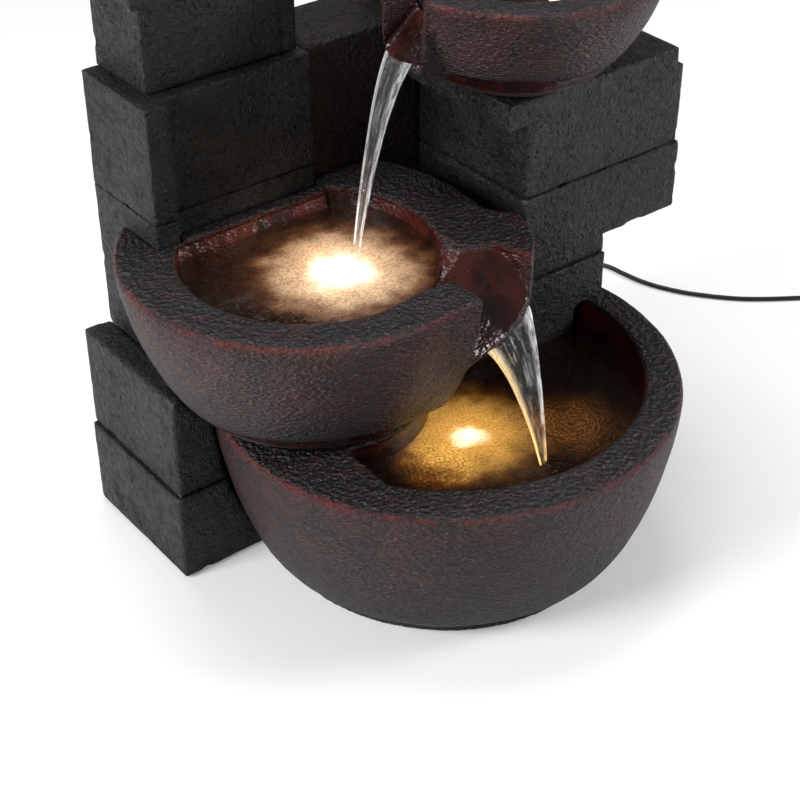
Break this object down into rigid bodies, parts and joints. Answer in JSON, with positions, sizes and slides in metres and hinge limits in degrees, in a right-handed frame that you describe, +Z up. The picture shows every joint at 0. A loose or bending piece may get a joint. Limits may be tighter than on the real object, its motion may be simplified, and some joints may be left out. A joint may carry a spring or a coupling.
{
  "type": "tabletop water fountain",
  "caption": "Tabletop water fountain: cast bowls between block towers, with a pump, riser tube, underwater lamps and a low-voltage cord.",
  "frame": {"origin": "on the ground, under the middle of the outline of everything but the free cord", "axes": "+X to the right, -Y to the front where the basin is, +Z up"},
  "size_m": [0.647, 0.3792, 0.4146],
  "materials": {
    "cast_maroon": "hammered cast resin, dark maroon over black, worn red edges",
    "cast_grey": "pitted cast resin, charcoal grey",
    "cast_dark": "pitted cast resin, near black",
    "pump_black": "moulded black",
    "dial_red": "moulded red",
    "impeller_white": "moulded white",
    "magnet": "sintered ferrite",
    "coil_copper": "varnished copper winding in potting",
    "shaft_steel": "ground",
    "bush_ceramic": "fine ceramic",
    "spring_steel": "spring steel",
    "rubber_black": "moulded rubber",
    "tube_clear": "clear soft tube",
    "lens_clear": "clear dome, lit warm white",
    "cord_black": "smooth black cord jacket",
    "adapter_black": "moulded black",
    "pin_brass": "bright blades"
  },
  "bodies": {
    "fountain": {"basin": "cast_maroon", "pump_screen": "cast_dark", "mid_bowl": "cast_maroon", "upper_bowl": "cast_maroon", "left_base_block": "cast_grey", "left_shelf_block": "cast_grey", "left_wall_lower": "cast_grey", "left_wall_upper": "cast_grey", "left_top_block": "cast_grey", "left_cap": "cast_grey", "rear_base_block": "cast_grey", "back_wall": "cast_dark", "right_pillar_block": "cast_grey", "right_neck_slab": "cast_grey", "right_slab_lower": "cast_grey", "right_slab_upper": "cast_grey", "right_plinth": "cast_grey", "right_top_block": "cast_grey", "right_cap": "cast_grey", "rubber_feet": "rubber_black", "pump_housing": "pump_black", "stator_coil": "coil_copper", "volute_cover": "pump_black", "cover_o_ring": "rubber_black", "intake_strainer": "pump_black", "impeller_shaft": "shaft_steel", "shaft_bushes": "bush_ceramic", "pump_outlet": "pump_black", "suction_cups": "rubber_black", "riser_tube": "tube_clear", "tube_clips": "pump_black", "riser_grommet": "rubber_black", "outlet_head": "pump_black", "lower_lamp_housing": "pump_black", "lower_lamp_lens": "lens_clear", "lower_lamp_bracket": "pump_black", "mid_lamp_housing": "pump_black", "mid_lamp_lens": "lens_clear", "upper_lamp_housing": "pump_black", "upper_lamp_lens": "lens_clear", "lamp_gaskets": "rubber_black", "pump_lead": "cord_black", "lower_lamp_lead": "cord_black", "mid_lamp_lead": "cord_black", "upper_lamp_lead": "cord_black", "cable_splice": "adapter_black", "cable_gland": "adapter_black", "strain_relief": "rubber_black", "power_cord": "cord_black", "cord_coil": "cord_black", "cord_tie": "rubber_black", "plug_adapter": "adapter_black", "plug_pins": "pin_brass"},
    "rotor": {"impeller": "impeller_white", "rotor_magnet": "magnet"},
    "flow_dial": {"flow_dial": "dial_red"},
    "rear_door": {"rear_door": "cast_dark", "door_catches": "spring_steel"}
  },
  "joints": [
    {"name": "rotor_spin", "type": "hinge", "parent": "fountain", "child": "rotor", "pos_m": [0.053, 0.04, 0.038], "axis": [0, 1, 0], "continuous": true},
    {"name": "flow_dial_turn", "type": "hinge", "parent": "fountain", "child": "flow_dial", "pos_m": [0.053, 0.018, 0.038], "axis": [0, 1, 0], "range_deg": [-40, 40]},
    {"name": "rear_door_pull", "type": "slide", "parent": "fountain", "child": "rear_door", "axis": [0, 1, 0], "range_m": [0, 0.06]}
  ]
}
